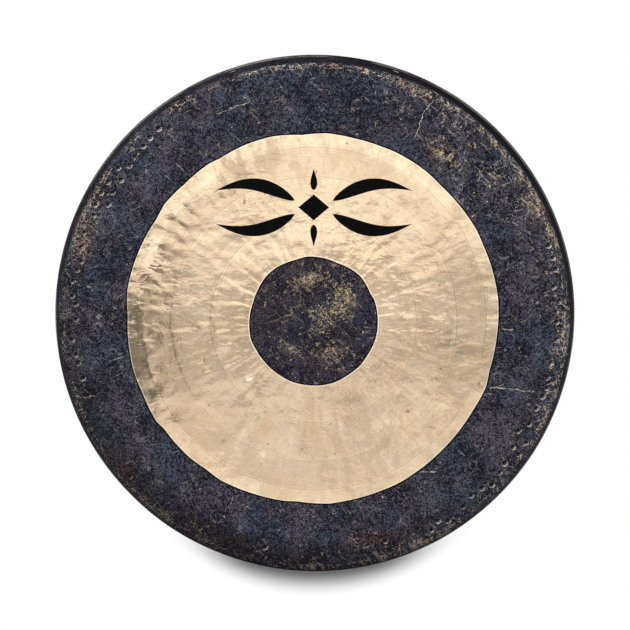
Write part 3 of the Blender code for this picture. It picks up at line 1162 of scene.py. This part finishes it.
@dataclass
class BronzeSheet:
    """The bronze itself, bare on its ring, back ring and rim edge."""

    sheet: Sheet
    sunk: float = 0.0009
    back_sunk: float = 0.0005
    margin: float = 0.007
    lip: float = 0.0022
    stains: Rows = (
        (179, 0.290, 2.5, 0.009, 0.85), (175, 0.290, 2.0, 0.009, 0.60), (293, 0.205, 9, 0.045, 0.16),
        (235, 0.212, 1.8, 0.020, 0.34), (299, 0.150, 4, 0.018, 0.34), (302, 0.236, 3, 0.016, 0.26),
        (-42, 0.253, 3, 0.012, 0.28), (232, 0.250, 3, 0.022, 0.22),
    )
    creased: Rows = (
        (-7.5, 0.220, 4, 0.016, 0.75), (-12.0, 0.238, 5, 0.024, 0.60), (-17, 0.284, 3, 0.008, 0.50),
        (174.5, 0.232, 4, 0.028, 0.55),
    )
    bare_spots: Rows = ((185, 0.293), (190, 0.285), (194, 0.296), (197.5, 0.291), (202, 0.286))
    # The pale rows place the painted highlights and glints on the ring.
    pale: Rows = (
        (153, 0.286, 10, 0.016, 0.80), (129, 0.285, 6, 0.013, 0.78), (63, 0.288, 11, 0.011, 0.70),
        (10, 0.293, 16, 0.009, 0.75), (88, 0.292, 9, 0.008, 0.60), (-33, 0.200, 9, 0.030, 0.50),
        (258, 0.205, 8, 0.045, 0.50), (237, 0.190, 5, 0.030, 0.45), (222, 0.143, 4.5, 0.007, 1.00),
        (239, 0.214, 1.8, 0.020, 1.10), (306, 0.206, 2.6, 0.009, 1.00), (301, 0.196, 1.8, 0.012, 0.90),
        (284, 0.186, 1.6, 0.014, 0.90), (297, 0.268, 1.6, 0.012, 0.90), (311, 0.270, 1.4, 0.016, 0.90),
        (260, 0.160, 4.0, 0.006, 0.60), (250, 0.236, 3.0, 0.006, 0.90), (-34, 0.254, 1.8, 0.012, 0.90),
    )

    def outline(self) -> Points:
        """The section: out over the front, round the back edge and in over the back."""
        sheet = self.sheet
        inner, outer = sheet.ring_inner - self.margin, sheet.ring_outer + self.margin
        points = [(reach, -self.sunk) for reach in runs((0, inner - 0.001, 4))]
        points += [(reach, 0.0) for reach in runs((inner, outer, 96))]
        down = runs((outer + 0.001, sheet.fold_start, 4), (sheet.fold_start, sheet.fold_end, 4))
        down += runs((sheet.fold_end + 0.012, sheet.rim_end - self.lip, 3))
        points += [(reach, -self.sunk) for reach in down]
        low = 0.0003 - sheet.thickness
        for lift, inset in ((0.0, self.lip), (0.0, 0.0004), (-0.0003, 0.0), (low, 0.0)):
            points.append((sheet.rim_end + lift * math.tan(sheet.flare) - inset, lift))
        back = -sheet.thickness
        edge = sheet.rim_end + back * math.tan(sheet.flare)
        points += [(edge - 0.0004, back), (edge - self.lip, back)]
        up = runs((edge - self.lip - 0.0003, sheet.fold_end, 4), (sheet.fold_end, sheet.fold_start, 4))
        up += runs((sheet.fold_start - 0.01, outer + 0.001, 3))
        points += [(reach, back + self.back_sunk) for reach in up]
        points += [(reach, back) for reach in runs((outer, inner, 26))]
        points += [(reach, back + self.back_sunk) for reach in runs((inner - 0.001, 0, 4))]
        return points

    def build(self, material: bpy.types.Material) -> bpy.types.Object:
        """Makes the sheet.

        Args:
            material: The bare bronze.
        """
        edges = (self.sheet.inner_edge, self.sheet.outer_edge)
        turned = TurnedPiece(self.sheet, "hammered_bronze", self.outline(), 624, True, False, edges=edges)
        piece = turned.build()
        HangingHoles(self.sheet).drill(piece, self.sheet.hole_radius)
        self.tarnish(piece.data)
        coat(piece, material)
        return piece

    def tarnish(self, mesh: bpy.types.Mesh) -> None:
        """Marks where the ring has gone olive, where its painted highlights lie and how faceted it is."""
        places = vertex_places(mesh)
        across, up = places[:, 0], places[:, 2]
        reach, angle = np.hypot(across, up), angles_of(places)
        ragged = angle % 360 + 1.6 * Noise(42).at(across, up, 0.008)
        stain = ease(ragged, 183.0, 185.0) * (1 - ease(ragged, 205.5, 207.5))
        stain = stain * ease(reach, self.sheet.shoulder - 0.001, self.sheet.shoulder + 0.001)
        stain = stain * (0.66 + 0.40 * Noise(41).at(across, up, 0.012))
        stain = stain + patchwork(reach, angle, *self.stains)
        creases = ease(Noise(44).at(across * 0.6, up * 1.8, 0.012), -0.3, 0.4)
        stain = stain + patchwork(reach, angle, *self.creased) * creases
        for spot_angle, spot_reach in self.bare_spots:
            stain = stain * (1 - patchwork(reach, angle, (spot_angle, spot_reach, 1.7, 0.0055, 0.95)))
        write_mark(mesh, Mark.STAIN, np.clip(stain, 0, 1))
        write_mark(mesh, Mark.PAINTED_HIGHLIGHT, np.clip(patchwork(reach, angle, *self.pale), 0, 1))
        facet = 0.50 - 0.22 * ease(-up, 0.06, 0.14)
        facet = facet + patchwork(reach, angle, (-16, 0.250, 12, 0.045, 0.34))
        facet = facet + 0.30 * ease(up, -0.10, 0.10) * ease(-across, -0.15, 0.10)
        facet = facet + 0.55 * hump(up, 0.004, 0.055) * ease(np.abs(across), 0.07, 0.14)
        facet = facet + 0.5 * hump(turn_between(angle, 135), 0, 40) * ease(reach, 0.20, 0.26)
        write_mark(mesh, Mark.FACET, facet * (0.6 + 0.4 * Noise(43).at(across, up, 0.06)))


@dataclass
class ScaleSkins:
    """The four layers of scale: middle and border, front and back.

    divisions holds how finely each is turned, for the middle and then the border, each on
    the front and then the back.
    """

    sheet: Sheet
    divisions: tuple[tuple[int, int], ...] = ((400, 240), (880, 480))
    top: float = 0.00055
    under: float = 0.00010
    buried: float = -0.00075
    middle_wear: Rows = (
        (95, 0.066, 26, 0.014, 0.95), (37, 0.066, 16, 0.014, 1.00), (33, 0.044, 18, 0.012, 0.80),
        (160, 0.038, 30, 0.012, 0.55), (150, 0.085, 30, 0.014, 0.45), (-54, 0.063, 22, 0.018, 0.65),
        (225, 0.060, 14, 0.010, 0.45), (20, 0.010, 120, 0.028, 0.55),
    )
    middle_haze: Rows = (
        (93, 0.068, 12, 0.008, 0.45), (36, 0.066, 9, 0.009, 0.60), (30, 0.044, 9, 0.006, 0.45),
        (-54, 0.063, 14, 0.010, 0.30),
    )
    border_wear: Rows = (
        (38, 0.375, 34, 0.040, 0.42), (60, 0.340, 12, 0.012, 0.35), (157, 0.395, 20, 0.014, 0.70),
        (163, 0.396, 4.0, 0.012, 1.30), (185, 0.400, 14, 0.012, 0.60), (-50, 0.400, 26, 0.012, 0.70),
        (-98, 0.400, 22, 0.014, 0.75), (-124, 0.404, 15, 0.012, 0.90), (-76, 0.386, 7, 0.020, 0.70),
        (-3, 0.400, 16, 0.012, 0.60),
    )
    border_haze: Rows = (
        (51.5, 0.343, 4.5, 0.010, 0.95), (67.5, 0.406, 4.0, 0.007, 0.60), (30.0, 0.398, 5.0, 0.007, 0.40),
    )
    border_rust: Rows = (
        (163, 0.392, 4.5, 0.014, 0.95), (176, 0.402, 5.0, 0.010, 0.60), (219, 0.398, 6.0, 0.014, 0.50),
        (247, 0.396, 7.0, 0.016, 0.55), (-72, 0.380, 5.0, 0.014, 0.45), (-78, 0.372, 4.0, 0.010, 0.45),
    )

    def border_outline(self, back: bool) -> Points:
        """The section of a border layer, from its scraped edge to the back edge and home."""
        sheet = self.sheet
        start, end = sheet.ring_outer, sheet.rim_end - 0.0025
        if back:
            base = -sheet.thickness
            end += base * math.tan(sheet.flare)
            shell = runs((start, sheet.fold_start, 26), (sheet.fold_start, sheet.fold_end, 8))
            shell += runs((sheet.fold_end + 0.003, end, 12))
            points = [(reach, base - self.top) for reach in shell]
            under = runs((end, sheet.fold_start, 6), (sheet.fold_start, start + 0.012, 6))
            points += [(reach, base + 0.0003) for reach in under]
            return points + [(start + 0.010, base - self.under), (start, base - self.under)]
        points = [(start, self.under), (start, self.top * 0.7), (start + 0.0004, self.top)]
        shell = runs((start + 0.001, 0.375, 28), (0.375, sheet.fold_start, 20))
        shell += runs((sheet.fold_start + 0.001, sheet.fold_end, 9), (sheet.fold_end, end, 13))
        points += [(reach, self.top) for reach in dict.fromkeys(shell)]
        points += [(end, self.buried)]
        under = runs((end - 0.004, sheet.fold_end, 3), (sheet.fold_end, sheet.fold_start, 4))
        under += runs((sheet.fold_start - 0.02, start + 0.016, 4))
        points += [(reach, self.buried) for reach in dict.fromkeys(under)]
        return points + [(start + 0.012, self.under)]

    def middle_outline(self, back: bool) -> Points:
        """The section of a middle layer, from the axis out to its scraped edge and home."""
        end = self.sheet.ring_inner
        if back:
            base = -self.sheet.thickness
            points = [(reach, base - self.top) for reach in runs((0, end, 20))]
            return points + [(reach, base - self.under) for reach in (end, end - 0.012, 0)]
        points = [(reach, self.top) for reach in runs((0, end - 0.001, 56))]
        points += [(end - 0.0004, self.top), (end, self.top * 0.7), (end, self.under)]
        return points + [(end - 0.012, self.under), (end - 0.016, self.buried), (0, self.buried)]

    def build(self, name: str, border: bool, back: bool, material: bpy.types.Material) -> bpy.types.Object:
        """Makes one layer.

        Args:
            name: The layer's name.
            border: Whether it is a border layer rather than a middle one.
            back: Whether it is on the back.
            material: Its finish.
        """
        outline = self.border_outline(back) if border else self.middle_outline(back)
        edge = self.sheet.outer_edge if border else self.sheet.inner_edge
        divisions = self.divisions[border][back]
        punched = border and not back
        turned = TurnedPiece(self.sheet, name, outline, divisions, not border, True, punched, (edge,))
        piece = turned.build()
        self.wear(piece.data, border)
        if border:
            HangingHoles(self.sheet).drill(piece, self.sheet.hole_radius + 0.0006)
        coat(piece, material)
        return piece

    def wear(self, mesh: bpy.types.Mesh, border: bool) -> None:
        """Marks where the scale is rubbed through to bronze, rusted and hazy, and where painted shade
        darkens it.
        """
        reach, places = read_mark(mesh, Mark.REACH), vertex_places(mesh)
        angle = angles_of(places)
        uneven = 0.5 + 0.5 * Noise(51).at(places[:, 0], places[:, 2], 0.045)
        if border:
            self.wear_border(mesh, reach, angle, uneven)
            return
        wear = 0.30 + patchwork(reach, angle, *self.middle_wear)
        write_mark(mesh, Mark.WEAR, np.clip(wear * (0.6 + 0.8 * uneven), 0, 1))
        write_mark(mesh, Mark.HAZE, patchwork(reach, angle, *self.middle_haze))
        for mark in (Mark.STAIN, Mark.DARK):
            write_mark(mesh, mark, np.zeros_like(reach))

    def wear_border(
        self, mesh: bpy.types.Mesh, reach: np.ndarray, angle: np.ndarray, uneven: np.ndarray
    ) -> None:
        """Marks a border layer.

        Args:
            mesh: The layer.
            reach: The reach of each vertex.
            angle: Its angle.
            uneven: How readily the scale wears there, from 0 to 1.
        """
        fold_crest, fold_end = self.sheet.fold_crest, self.sheet.fold_end
        crest = hump(reach, fold_crest - 0.002, 0.0065)
        outer = ease(reach, 0.345, 0.40) * (1 - ease(reach, fold_crest, fold_end))
        busy = 0.35 + 0.65 * hump(turn_between(angle, 45), 0, 60)
        wear = 0.08 + 0.62 * crest * (0.30 + 0.70 * uneven) + 0.16 * outer * uneven
        wear = wear + patchwork(reach, angle, *self.border_wear) * (0.5 + 0.7 * uneven) * busy
        plain = ease(reach, fold_end - 0.003, fold_end + 0.002)
        # Painted shade: the rim beyond the fold darkens by angle, and the border near the fold at the lower
        # left is shaded.
        dark = 0.50 + 0.42 * hump(turn_between(angle, 52), 0, 42)
        dark = dark + 0.25 * hump(turn_between(angle, -110), 0, 60)
        shaded = 0.72 * ease(reach, 0.350, 0.405) * hump(turn_between(angle, -118), 0, 68)
        write_mark(mesh, Mark.DARK, np.maximum(np.clip(dark, 0, 0.93) * plain, shaded))
        write_mark(mesh, Mark.WEAR, np.clip(wear * (1 - 0.7 * plain), 0, 1))
        write_mark(mesh, Mark.HAZE, patchwork(reach, angle, *self.border_haze))
        rust = patchwork(reach, angle, *self.border_rust)
        write_mark(mesh, Mark.STAIN, np.clip(rust * (0.5 + uneven), 0, 1))


@dataclass
class Ornament:
    """The printed ornament: a lozenge, four blades beside it and a spike above and below."""

    sheet: Sheet
    share: float = 0.395
    inner_margin: float = 0.016
    outer_margin: float = 0.040
    lozenge_length: float = 0.050
    lozenge_half_height: float = 0.021
    blade_half_width: float = 0.0105
    blade_rise: float = 0.016
    blade_bow: float = 0.018
    blade_gap: float = 0.006
    root_spread: float = 0.011
    spike_half_width: float = 0.0055
    spike_gap: float = 0.007
    ink: float = 0.00022
    over: float = 0.00012
    steps: int = 72
    strands: int = 10

    @property
    def height(self) -> float:
        """How far above the axis the ornament's centre is."""
        return self.sheet.ring_inner + self.share * (self.sheet.ring_outer - self.sheet.ring_inner)

    def stroke(
        self, name: str, spine: Line2D, half_width: Callable, material: bpy.types.Material
    ) -> bpy.types.Object:
        """Makes one patch of ink.

        Args:
            name: Its name.
            spine: Gives the (across, up) of its middle at a share of its length.
            half_width: Gives half its width there.
            material: The ink.
        """
        bpy.ops.object.select_all(action="DESELECT")
        bpy.ops.mesh.primitive_grid_add(x_subdivisions=self.steps, y_subdivisions=self.strands, size=1)
        piece = bpy.context.object
        piece.name = piece.data.name = name
        grid = vertex_places(piece.data)
        share, side = grid[:, 0] + 0.5, grid[:, 1] * 2
        here, ahead, behind = (np.array(spine(share + step)) for step in (0, 0.01, -0.01))
        way = np.arctan2(ahead[1] - behind[1], ahead[0] - behind[0])
        reach_out = side * np.maximum(half_width(np.clip(share, 0, 1)), 0.0002)
        across, up = here[0] - np.sin(way) * reach_out, here[1] + np.cos(way) * reach_out
        reach, angle = np.hypot(across, up), np.degrees(np.arctan2(up, across))
        lift = self.over + self.sheet.relief(reach, angle) + self.sheet.face_relief(reach, angle)
        move_vertices(piece.data, self.sheet.place(reach, lift, angle))
        activate(piece)
        with editing("SELECT"):
            bpy.ops.mesh.normals_make_consistent(inside=False)
        if piece.data.polygons[0].normal.y > 0:
            piece.data.flip_normals()
        thick = piece.modifiers.new("ink", "SOLIDIFY")
        thick.thickness, thick.offset = self.ink, 1.0
        bpy.ops.object.modifier_apply(modifier=thick.name)
        bpy.ops.object.shade_smooth_by_angle(angle=SMOOTH_ANGLE)
        piece.data.materials.append(material)
        return piece

    def build_lozenge(self, material: bpy.types.Material) -> bpy.types.Object:
        """Makes the lozenge."""

        def spine(share: np.ndarray) -> tuple[np.ndarray, np.ndarray]:
            """The middle line, level."""
            return self.lozenge_length * (share - 0.5), np.full_like(share, self.height)

        def half_width(share: np.ndarray) -> np.ndarray:
            """Widest half way along."""
            return self.lozenge_half_height * (1 - np.abs(2 * share - 1))

        return self.stroke("ink_lozenge", spine, half_width, material)

    def build_blade(
        self, name: str, across: int, up: int, material: bpy.types.Material
    ) -> bpy.types.Object:
        """Makes a blade.

        Args:
            name: Its name.
            across: -1 on the left, 1 on the right.
            up: -1 below the middle, 1 above it.
            material: The ink.
        """
        root = self.lozenge_length / 2 + self.blade_gap
        highest_tip = self.height + self.root_spread + self.blade_rise
        tip = math.sqrt((self.sheet.ring_outer - self.outer_margin) ** 2 - highest_tip**2)

        def spine(share: np.ndarray) -> tuple[np.ndarray, np.ndarray]:
            """The middle line, bowed away from the ornament's own middle line."""
            rise = self.root_spread + self.blade_rise * share + self.blade_bow * np.sin(math.pi * share)
            return across * (root + (tip - root) * share), self.height + up * rise

        def half_width(share: np.ndarray) -> np.ndarray:
            """Tapers to both ends, widest near the root."""
            return self.blade_half_width * np.sin(math.pi * share**0.7)

        return self.stroke(name, spine, half_width, material)

    def build_spike(self, name: str, up: int, material: bpy.types.Material) -> bpy.types.Object:
        """Makes the spike over the lozenge, with up 1, or under it, with up -1."""
        root = self.lozenge_half_height + self.spike_gap
        tip = self.height - self.sheet.ring_inner - self.inner_margin

        def spine(share: np.ndarray) -> tuple[np.ndarray, np.ndarray]:
            """The middle line, upright."""
            return np.zeros_like(share), self.height + up * (root + (tip - root) * share)

        def half_width(share: np.ndarray) -> np.ndarray:
            """Tapers to both ends, widest near the lozenge."""
            return self.spike_half_width * np.sin(math.pi * share**0.6)

        return self.stroke(name, spine, half_width, material)


@dataclass
class Studio:
    """The pale floor, the soft light and the camera."""

    centre: Vector
    floor_height: float
    floor_size: float = 60.0
    distance: float = 3.0
    azimuth: float = 0.8
    elevation: float = 5.5
    lens: float = 104.2
    aim: Pair = (0.0016, 0.0056)
    shade_across: Pair = (0.10, 0.36)
    shade_forward: Pair = (-0.05, 0.130)
    shade_back: Pair = (0.08, 0.55)
    shade_curve: float = 5.75
    shade_depth: float = 0.86
    flag: Pair = (-21.0, -8.0)
    room_tones: tuple[Pair, ...] = (
        (-90.0, 0.70), (-22.0, 0.82), (-12.0, 0.72), (-9.0, 0.66), (-7.0, 0.46), (-4.5, 0.46),
        (-2.0, 0.86), (1.0, 1.08), (8.0, 1.08), (14.0, 1.20), (35.0, 0.80), (90.0, 0.80),
    )

    def build_floor(self) -> bpy.types.Object:
        """Lays the floor, which paints the gong's contact shadow for the camera by itself: a painted shadow
        around the gong's foot.
        """
        bpy.ops.object.select_all(action="DESELECT")
        bpy.ops.mesh.primitive_plane_add(size=self.floor_size, location=(0, 0, self.floor_height))
        floor = bpy.context.object
        floor.name = "studio_floor"
        made = Finish("pale_floor")
        graph = made.graph
        seen = graph.add("LightPath", output="Is Camera Ray")
        across, back, _ = graph.parts(made.place)
        near = 1.0 - (across * across * self.shade_curve - back).eased(*self.shade_forward)
        near = near * (1.0 - back.eased(*self.shade_back))
        inward = 1.0 - abs(across).eased(*self.shade_across)
        bright = seen * (1.0 - near * inward * self.shade_depth)
        black, white = (0.0, 0.0, 0.0), (1.0, 1.0, 1.0)
        made.set(
            Base_Color=graph.mixed(seen, (0.45, 0.45, 0.45), black),
            Emission_Color=graph.mixed(bright, black, white),
            Emission_Strength=1.0,
            Roughness=1.0,
            Specular_IOR_Level=0.0,
        )
        floor.data.materials.append(made.material)
        floor.visible_glossy = False
        return floor

    def towards(self, turn: float, rise: float) -> Vector:
        """The way from the gong's front at this turn and rise, in degrees."""
        turn, rise = math.radians(turn), math.radians(rise)
        return Vector((math.sin(turn) * math.cos(rise), -math.cos(turn) * math.cos(rise), math.sin(rise)))

    def build_world(self) -> None:
        """Surrounds the gong with a pale room, dark to the sides.

        It has a darker band at eye level, a dark flag low at the left, and light patches
        behind the gong at both sides, which its back mirrors.
        """
        world = bpy.data.worlds.new("pale_room")
        bpy.context.scene.world = world
        world.use_nodes = True
        graph = Graph(world.node_tree)
        way = graph.add("TexCoord", output="Generated")
        _, back, up = graph.parts(way)
        height = up + (graph.noise(way, 5.0, 2.0) * 0.05 - 0.025)
        ramp = graph.node("ValToRGB", {0: height * 0.5 + 0.5})
        stops = ramp.color_ramp.elements
        for _ in self.room_tones[2:]:
            stops.new(0.5)
        for stop, (rise, tone) in zip(stops, self.room_tones):
            stop.position = 0.5 + 0.5 * math.sin(math.radians(rise))
            stop.color = (tone, tone, tone, 1)
        patchy = graph.noise(way, 16.0, 4.0, roughness=0.6).eased(0.26, 0.74) * 1.15 + 0.48
        room = graph.vector("SCALE", Value(graph, ramp.outputs[0]), scale=patchy)
        facing = graph.measure("DOT_PRODUCT", way, tuple(self.towards(*self.flag)))
        shade = facing.eased(math.cos(math.radians(9)), math.cos(math.radians(4)))
        room = graph.mixed(shade * 0.65, room, (0.05, 0.05, 0.045))
        open_share = graph.math("MAXIMUM", (back * -1.0).eased(0.1, 0.55), back.eased(0.965, 0.995))
        room = graph.mixed(open_share, (0.13, 0.13, 0.14), room)
        aside = graph.measure("DOT_PRODUCT", graph.vector("ABSOLUTE", way), (0.69, 0.69, 0.22))
        room = graph.mixed(aside.eased(0.84, 0.97) * back.eased(0.25, 0.5), room, (0.85, 0.83, 0.79))
        seen = graph.add("LightPath", output="Is Camera Ray")
        background = world.node_tree.nodes["Background"]
        graph.join(graph.mixed(seen, room, (1.0, 1.0, 1.0)), background.inputs[0])

    def add_lamp(
        self, name: str, place: Triple, width: float, power: float
    ) -> bpy.types.Object:
        """Hangs a soft square lamp that faces the gong.

        Args:
            name: Its name.
            place: Where it is.
            width: The length of its sides.
            power: Its power in watts.
        """
        bpy.ops.object.select_all(action="DESELECT")
        bpy.ops.object.light_add(type="AREA", location=place)
        lamp = bpy.context.object
        lamp.name = lamp.data.name = name
        lamp.data.shape = "SQUARE"
        lamp.data.size = width
        lamp.data.energy = power
        lamp.rotation_euler = (self.centre - Vector(place)).to_track_quat("-Z", "Y").to_euler()
        return lamp

    def light_only(self, lamp: bpy.types.Object, piece: bpy.types.Object, state: str) -> None:
        """Makes a lamp light only this piece, with state INCLUDE, or all but it, with EXCLUDE."""
        lit = bpy.data.collections.new(f"{lamp.name}_lights")
        lit.objects.link(piece)
        lit.collection_objects[0].light_linking.link_state = state
        lamp.light_linking.receiver_collection = lit

    def build_camera(self) -> None:
        """Sets up the camera, a little above the gong's axis."""
        bpy.ops.object.select_all(action="DESELECT")
        bpy.ops.object.camera_add()
        camera = bpy.context.object
        way = self.towards(self.azimuth, self.elevation)
        camera.location = self.centre + Vector((self.aim[0], 0, self.aim[1])) + way * self.distance
        camera.rotation_euler = (-way).to_track_quat("-Z", "Y").to_euler()
        camera.data.lens = self.lens
        bpy.context.scene.camera = camera

    def build(self) -> None:
        """Sets up everything."""
        floor = self.build_floor()
        self.build_world()
        front = self.add_lamp("front_lamp", (-0.5, -1.2, 2.2), 1.1, 45)
        self.light_only(front, floor, "EXCLUDE")
        for name, back, power in (("floor_lamp", -0.9, 100), ("floor_back_lamp", 0.9, 120)):
            lamp = self.add_lamp(name, (0.0, back, 2.0), 1.3, power)
            self.light_only(lamp, floor, "INCLUDE")
        self.build_camera()
        bpy.context.scene.view_settings.view_transform = "Standard"


FRONT_LINES = (
    Line(61.5, 0.407, 62.3, 0.383, 0.0011),
    Line(62.3, 0.383, 61.2, 0.339, 0.0011),
    Line(115.5, 0.371, 106.5, 0.3675, 0.0009),
    Line(-3, 0.307, -2.6, 0.325, 0.0010),
    Line(-21.1, 0.306, -19.3, 0.345, 0.0010),
    Line(-19.3, 0.345, -18.1, 0.380, 0.0009),
    Line(-55.5, 0.307, -51, 0.322, 0.0011),
    Line(197.6, 0.415, 199.7, 0.379, 0.0006),
)


def dress(piece: bpy.types.Object, slot: str, *nodes: str) -> None:
    """Puts a finished piece in the place of its CAD nodes.

    Args:
        piece: The piece.
        slot: The record's material slot for its finish. Not used.
        *nodes: The nodes that it stands for.
    """
    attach(piece, BODY)
    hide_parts(*nodes)
    LOG.info("%s: %d vertices", piece.name, len(piece.data.vertices))


def main() -> None:
    """Builds the gong's looks around its frame, piece by piece."""
    logging.basicConfig(level=logging.INFO, format="%(name)s: %(message)s")
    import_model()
    low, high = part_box("bronze_sheet")
    sheet = Sheet(back=high[1], rim_radius=high[0])
    effects = Effects()
    Studio(centre=Vector((0, 0, 0)), floor_height=low[2] - FLOOR_DROP).build()

    dress(BronzeSheet(sheet).build(BronzeFinish().build()), "bronze", "bronze_sheet")

    rim_line = sheet.rim_end - RIM_HIGHLIGHT_INSET
    dull = {"fold_line": sheet.rim_end, "rim_line": rim_line, "roughness": 0.62, "flecks": 0.6}
    finishes = {
        ("front", "border"): ScaleFinish("border_scale", sheet.fold_crest, rim_line, lines=FRONT_LINES),
        ("front", "middle"): ScaleFinish(
            "middle_scale",
            sheet.rim_end,
            rim_line,
            grey=(0.066, 0.052, 0.070),
            blue=(0.046, 0.048, 0.078),
            gold=(0.54, 0.41, 0.22),
            pale=(0.30, 0.25, 0.18),
            flecks=1.2,
        ),
        ("back", "border"): ScaleFinish("dull_border_scale", **dull),
        ("back", "middle"): ScaleFinish("dull_middle_scale", **dull),
    }
    skins = ScaleSkins(sheet)
    for (side, place), finish in finishes.items():
        name, border, back = f"{side}_{place}_skin", place == "border", side == "back"
        piece = skins.build(name, border, back, finish.build(effects))
        dress(piece, "black_scale" if side == "front" else "dull_scale", f"{side}_{place}_scale")

    ink = InkFinish().build()
    ornament = Ornament(sheet)
    dress(ornament.build_lozenge(ink), "black_ink", "printed_lozenge")
    for side, across in (("left", -1), ("right", 1)):
        for place, up in (("upper", 1), ("lower", -1)):
            blade = ornament.build_blade(f"ink_blade_{place}_{side}", across, up, ink)
            dress(blade, "black_ink", f"printed_blade_{place}_{side}")
    for place, up in (("upper", 1), ("lower", -1)):
        spike = ornament.build_spike(f"ink_spike_{place}", up, ink)
        dress(spike, "black_ink", f"printed_spike_{place}")


if __name__ == "__main__":
    main()
